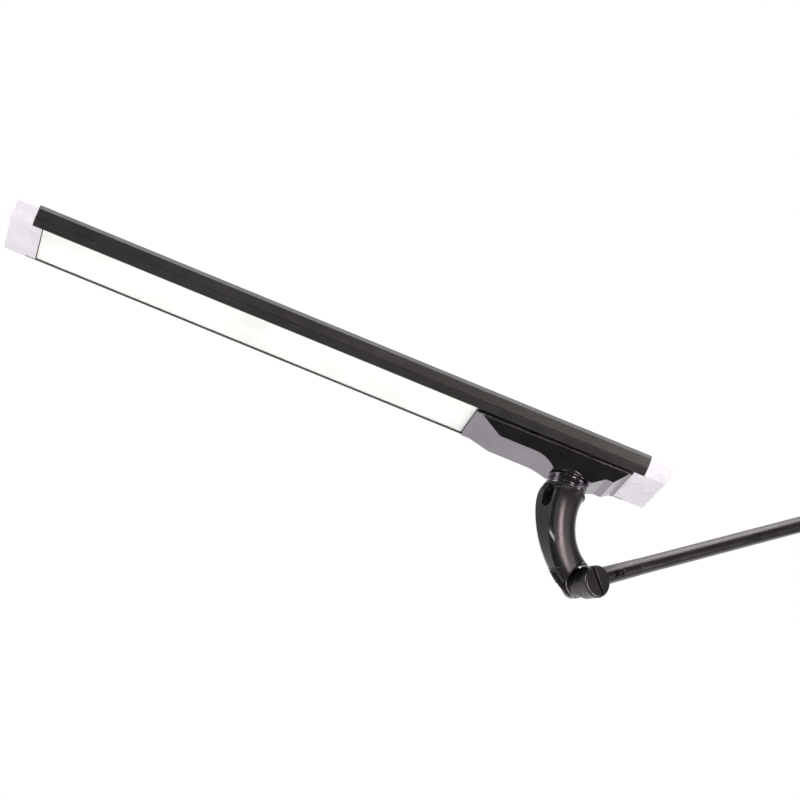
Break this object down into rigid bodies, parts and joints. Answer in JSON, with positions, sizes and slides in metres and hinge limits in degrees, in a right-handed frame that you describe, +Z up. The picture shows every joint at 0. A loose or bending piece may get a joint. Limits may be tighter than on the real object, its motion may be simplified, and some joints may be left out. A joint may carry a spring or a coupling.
{
  "type": "picture light",
  "caption": "Slim linear LED picture light: flat ridged head on a swivelling collar, curved neck, clamped knuckle and straight rod to a small round wall plate.",
  "frame": {"origin": "centre of the wall plate's back face", "axes": "+X into the wall, +Z up; the head runs along X and lights downwards"},
  "size_m": [0.6037, 0.1686, 0.1781],
  "materials": {
    "gunmetal": "satin",
    "anodised_grey": "satin",
    "housing_metal": "gloss",
    "cap_plastic": "gloss",
    "diffuser_plastic": "matte",
    "black_plastic": "matte",
    "gloss_black": "gloss",
    "dark_rubber": "matte",
    "bright_steel": "polished",
    "zinc_steel": "satin",
    "black_steel": "satin",
    "board": "gloss",
    "driver_green": "gloss",
    "part_black": "gloss",
    "led_phosphor": "gloss",
    "bush_nylon": "satin",
    "lead_jacket": "satin"
  },
  "bodies": {
    "wall": {"wall_plate": "gunmetal"},
    "yoke": {"wall_yoke": "gunmetal", "pan_washers": "bush_nylon", "pan_nut": "zinc_steel", "wall_clamp_nut": "zinc_steel"},
    "wall_knob": {"wall_clamp_screw": "gunmetal"},
    "rod": {"rod_tube": "gunmetal", "rod_lug": "gunmetal", "rod_sleeve": "gunmetal", "sleeve_screw": "black_steel", "rod_end_lug": "gunmetal", "rod_end_pin": "zinc_steel", "rod_end_grommet": "dark_rubber", "rod_lead": "lead_jacket", "wall_clamp_washers": "bush_nylon", "clamp_washers": "bush_nylon"},
    "neck": {"neck_body": "gunmetal", "neck_cover": "gloss_black", "knuckle_liner": "gloss_black", "neck_grommet": "dark_rubber", "neck_lead": "lead_jacket", "clamp_nut": "zinc_steel", "swivel_spindle": "bright_steel", "swivel_locknut": "black_steel", "lead_clamp_nut": "bright_steel", "swivel_collar": "housing_metal", "collar_gasket": "black_plastic", "root_washer": "dark_rubber", "swivel_washer": "zinc_steel", "swivel_nut": "zinc_steel"},
    "knob": {"clamp_screw": "gunmetal"},
    "head": {"head_cover": "anodised_grey", "head_tray": "anodised_grey", "led_board": "board", "leds": "led_phosphor", "diffuser": "diffuser_plastic", "end_cap_left": "cap_plastic", "end_cap_right": "cap_plastic", "cap_screws": "zinc_steel", "mount_housing": "housing_metal", "housing_screws": "zinc_steel", "driver_board": "driver_green", "driver_parts": "part_black", "driver_lead": "lead_jacket", "head_lead": "lead_jacket", "swivel_bush": "bush_nylon"}
  },
  "joints": [
    {"name": "wall_pan", "type": "hinge", "parent": "wall", "child": "yoke", "pos_m": [-0.03, 0, 0], "axis": [0, 0, 1], "range_deg": [-88, 32]},
    {"name": "wall_tilt", "type": "hinge", "parent": "yoke", "child": "rod", "pos_m": [-0.03, 0, 0.034], "axis": [-0.4695, 0.8829, 0], "range_deg": [-14, 45]},
    {"name": "wall_knob_turn", "type": "hinge", "parent": "yoke", "child": "wall_knob", "pos_m": [-0.03, 0, 0.034], "axis": [-0.4695, 0.8829, 0], "range_deg": [-90, 90]},
    {"name": "knuckle_tilt", "type": "hinge", "parent": "rod", "child": "neck", "pos_m": [-0.20694, -0.09408, -0.12369], "axis": [-0.4695, 0.8829, 0], "range_deg": [-60, 12]},
    {"name": "knob_turn", "type": "hinge", "parent": "neck", "child": "knob", "pos_m": [-0.20694, -0.09408, -0.12369], "axis": [-0.4695, 0.8829, 0], "range_deg": [-90, 90]},
    {"name": "collar_swivel", "type": "hinge", "parent": "neck", "child": "head", "pos_m": [-0.23691, -0.11002, -0.05996], "axis": [0, 0, 1], "range_deg": [-110, 110]}
  ]
}
